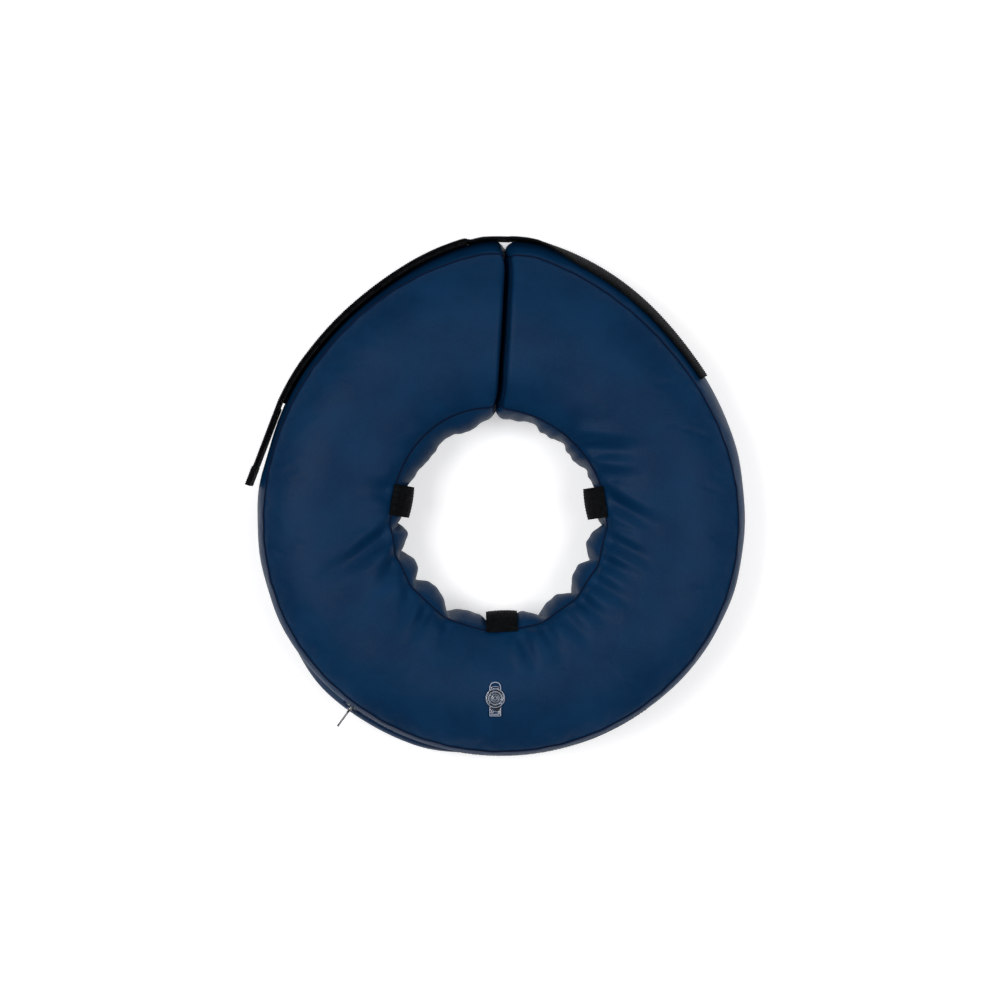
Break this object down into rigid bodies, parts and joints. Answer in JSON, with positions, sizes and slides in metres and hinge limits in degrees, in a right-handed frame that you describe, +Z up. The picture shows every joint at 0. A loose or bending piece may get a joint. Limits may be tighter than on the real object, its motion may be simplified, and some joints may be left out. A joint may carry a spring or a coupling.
{
  "type": "inflatable protective pet collar",
  "caption": "Inflatable ring-shaped recovery collar for a pet: fabric jacket over an air bladder, closed round the neck by a hook-and-loop strap, with neck loops, a zip and an air valve.",
  "frame": {"origin": "centre of the bounding box, at the bottom, on the surface that the collar lies on", "axes": "+Z up through the neck opening, +Y from the valve towards the closure gap, +X to the right seen from above"},
  "size_m": [0.3987, 0.4139, 0.0873],
  "materials": {
    "jacket_fabric": "smooth coated fabric with a soft sheen",
    "bladder_film": "soft vinyl film",
    "webbing": "matte woven ribbing",
    "hook_and_loop": "matte pile",
    "zip_tape": "matte woven tape",
    "zip_coil": "satin moulded coil",
    "zip_metal": "dark satin metal",
    "valve_pvc": "clear soft vinyl"
  },
  "bodies": {
    "lower_ring": {"top_panel_lower": "jacket_fabric", "bottom_panel_lower": "jacket_fabric", "outer_band_lower": "jacket_fabric", "neck_band_lower": "jacket_fabric", "bladder_lower": "bladder_film", "collar_loop_lower": "webbing", "zip_tape_upper": "zip_tape", "zip_tape_lower": "zip_tape", "zip_coil_upper": "zip_coil", "zip_coil_lower": "zip_coil", "zip_stop_closed_end": "zip_metal", "zip_stop_open_end": "zip_metal", "valve_sleeve": "valve_pvc"},
    "left_arm": {"top_panel_left": "jacket_fabric", "bottom_panel_left": "jacket_fabric", "outer_band_left": "jacket_fabric", "neck_band_left": "jacket_fabric", "end_panel_left": "jacket_fabric", "bladder_left": "bladder_film", "collar_loop_left": "webbing", "strap_lining": "hook_and_loop"},
    "right_arm": {"top_panel_right": "jacket_fabric", "bottom_panel_right": "jacket_fabric", "outer_band_right": "jacket_fabric", "neck_band_right": "jacket_fabric", "end_panel_right": "jacket_fabric", "bladder_right": "bladder_film", "collar_loop_right": "webbing", "strap_anchor": "webbing"},
    "closure_strap": {"strap_webbing": "webbing", "strap_hook_tape": "hook_and_loop"},
    "strap_end": {"strap_tail": "webbing", "strap_tail_hook_tape": "hook_and_loop"},
    "zip_runner": {"zip_slider": "zip_metal"},
    "zip_tab": {"zip_pull": "zip_metal"},
    "valve_tube": {"valve_stem": "valve_pvc"},
    "valve_plug": {"valve_cap": "valve_pvc"},
    "valve_flap": {"valve_check_flap": "valve_pvc"}
  },
  "joints": [
    {"name": "left_arm_open", "type": "hinge", "parent": "lower_ring", "child": "left_arm", "pos_m": [-0.1697, -0.10935, 0.042], "axis": [0, 0, 1], "range_deg": [0, 18]},
    {"name": "right_arm_open", "type": "hinge", "parent": "lower_ring", "child": "right_arm", "pos_m": [0.1793, -0.10935, 0.042], "axis": [0, 0, -1], "range_deg": [0, 18]},
    {"name": "strap_peel", "type": "hinge", "parent": "right_arm", "child": "closure_strap", "pos_m": [0.02633, 0.20318, 0.043], "axis": [0, 0, -1], "range_deg": [0, 108]},
    {"name": "strap_end_lift", "type": "hinge", "parent": "closure_strap", "child": "strap_end", "pos_m": [-0.17419, 0.07682, 0.043], "axis": [0, 0, -1], "range_deg": [0, 60]},
    {"name": "zip_slide", "type": "hinge", "parent": "lower_ring", "child": "zip_runner", "pos_m": [0.0048, -0.0041, 0.0495], "axis": [0, 0, 1], "range_deg": [0, 67]},
    {"name": "zip_pull_swing", "type": "hinge", "parent": "zip_runner", "child": "zip_tab", "pos_m": [-0.11652, -0.17108, 0.0495], "axis": [0, 0, 1], "range_deg": [-80, 80]},
    {"name": "valve_lift", "type": "slide", "parent": "lower_ring", "child": "valve_tube", "axis": [0, 0, 1], "range_m": [0, 0.0065]},
    {"name": "valve_cap_open", "type": "hinge", "parent": "valve_tube", "child": "valve_plug", "pos_m": [0.0004, -0.1766, 0.08555], "axis": [1, 0, 0], "range_deg": [0, 130]},
    {"name": "valve_flap_open", "type": "hinge", "parent": "valve_tube", "child": "valve_flap", "pos_m": [0.0004, -0.166, 0.0676], "axis": [-1, 0, 0], "range_deg": [0, 40], "stiffness_Nm_per_rad": 0.0005}
  ],
  "couplings": [
    {"joint": "right_arm_open", "follows": "left_arm_open", "ratio": 1},
    {"joint": "strap_peel", "follows": "left_arm_open", "ratio": 6}
  ]
}
